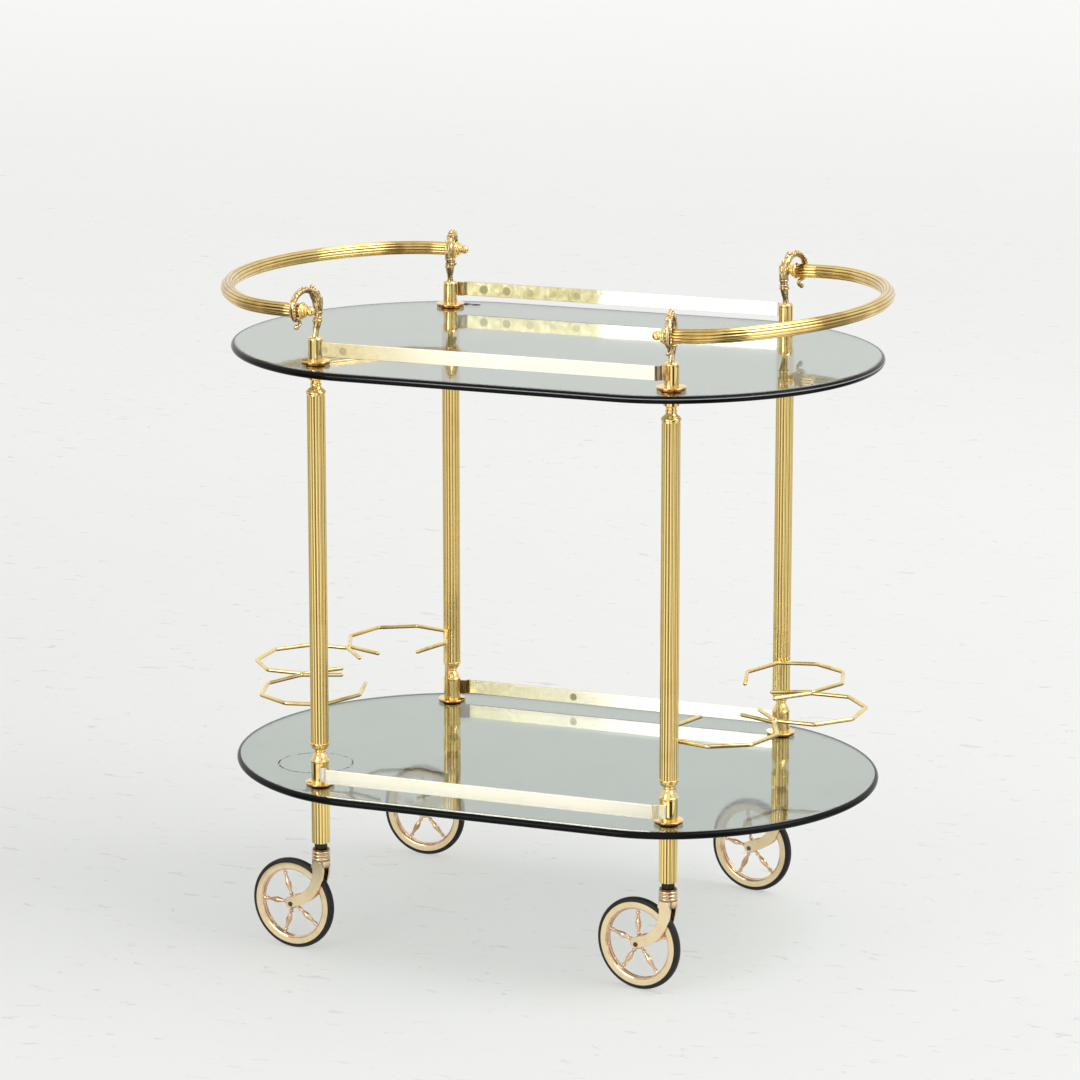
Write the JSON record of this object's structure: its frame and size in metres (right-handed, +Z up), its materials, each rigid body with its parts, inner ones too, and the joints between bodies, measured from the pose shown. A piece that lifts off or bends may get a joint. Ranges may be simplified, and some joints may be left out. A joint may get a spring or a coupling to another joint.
{
  "type": "dessert trolley",
  "caption": "Two-tier oval glass dessert trolley on reeded brass posts, with gallery rails, loop handles, bottle racks and spoked swivel casters.",
  "frame": {"origin": "on the floor, below the middle of the shelves", "axes": "+Z up, +X along the length towards one handle, the front long side faces -Y"},
  "size_m": [0.7475, 0.478, 0.7457],
  "materials": {
    "glass_smoked": "smoked, glossy",
    "brass_polished": "polished, slightly tarnished",
    "brass_cast": "cast, polished on the high spots",
    "brass_satin": "satin",
    "brass_dark": "dull, darkened",
    "brass_rail": "satin, pale",
    "tyre_rubber": "matt",
    "gasket_rubber": "matt",
    "steel_plain": "plain",
    "metal_dark": "dark, smooth"
  },
  "bodies": {
    "frame": {"top_glass": "glass_smoked", "lower_glass": "glass_smoked", "column_fl": "brass_polished", "column_fr": "brass_polished", "column_bl": "brass_polished", "column_br": "brass_polished", "capital_fl": "brass_polished", "capital_fr": "brass_polished", "capital_bl": "brass_polished", "capital_br": "brass_polished", "base_turning_fl": "brass_polished", "base_turning_fr": "brass_polished", "base_turning_bl": "brass_polished", "base_turning_br": "brass_polished", "leg_stub_fl": "brass_polished", "leg_stub_fr": "brass_polished", "leg_stub_bl": "brass_polished", "leg_stub_br": "brass_polished", "top_sleeve_fl": "brass_polished", "top_sleeve_fr": "brass_polished", "top_sleeve_bl": "brass_polished", "top_sleeve_br": "brass_polished", "handle_hook_fl": "brass_cast", "handle_hook_fr": "brass_cast", "handle_hook_bl": "brass_cast", "handle_hook_br": "brass_cast", "top_flanges": "brass_polished", "lower_flanges": "brass_polished", "top_gaskets": "gasket_rubber", "lower_gaskets": "gasket_rubber", "tie_rods": "steel_plain", "caster_stems": "metal_dark", "top_rail_front": "brass_rail", "top_rail_back": "brass_rail", "lower_rail_front": "brass_rail", "lower_rail_back": "brass_rail", "handle_left": "brass_polished", "handle_right": "brass_polished", "finials_left": "brass_polished", "finials_right": "brass_polished", "bottle_rack_left": "brass_polished", "bottle_rack_right": "brass_polished"},
    "caster_fl": {"fork_fl": "brass_satin", "axle_fl": "brass_dark"},
    "rolling_wheel_fl": {"wheel_fl": "brass_satin", "tyre_fl": "tyre_rubber"},
    "caster_fr": {"fork_fr": "brass_satin", "axle_fr": "brass_dark"},
    "rolling_wheel_fr": {"wheel_fr": "brass_satin", "tyre_fr": "tyre_rubber"},
    "caster_bl": {"fork_bl": "brass_satin", "axle_bl": "brass_dark"},
    "rolling_wheel_bl": {"wheel_bl": "brass_satin", "tyre_bl": "tyre_rubber"},
    "caster_br": {"fork_br": "brass_satin", "axle_br": "brass_dark"},
    "rolling_wheel_br": {"wheel_br": "brass_satin", "tyre_br": "tyre_rubber"}
  },
  "joints": [
    {"name": "caster_swivel_fl", "type": "hinge", "parent": "frame", "child": "caster_fl", "pos_m": [-0.202, -0.19, 0.11], "axis": [0, 0, 1], "continuous": true},
    {"name": "wheel_spin_fl", "type": "hinge", "parent": "caster_fl", "child": "rolling_wheel_fl", "pos_m": [-0.23765, -0.18499, 0.051], "axis": [0.1392, 0.9903, 0], "continuous": true},
    {"name": "caster_swivel_fr", "type": "hinge", "parent": "frame", "child": "caster_fr", "pos_m": [0.202, -0.19, 0.11], "axis": [0, 0, 1], "continuous": true},
    {"name": "wheel_spin_fr", "type": "hinge", "parent": "caster_fr", "child": "rolling_wheel_fr", "pos_m": [0.16679, -0.18252, 0.051], "axis": [0.2079, 0.9781, 0], "continuous": true},
    {"name": "caster_swivel_bl", "type": "hinge", "parent": "frame", "child": "caster_bl", "pos_m": [-0.202, 0.19, 0.11], "axis": [0, 0, 1], "continuous": true},
    {"name": "wheel_spin_bl", "type": "hinge", "parent": "caster_bl", "child": "rolling_wheel_bl", "pos_m": [-0.23795, 0.19188, 0.051], "axis": [0.0523, 0.9986, 0], "continuous": true},
    {"name": "caster_swivel_br", "type": "hinge", "parent": "frame", "child": "caster_br", "pos_m": [0.202, 0.19, 0.11], "axis": [0, 0, 1], "continuous": true},
    {"name": "wheel_spin_br", "type": "hinge", "parent": "caster_br", "child": "rolling_wheel_br", "pos_m": [0.16679, 0.19748, 0.051], "axis": [0.2079, 0.9781, 0], "continuous": true}
  ]
}
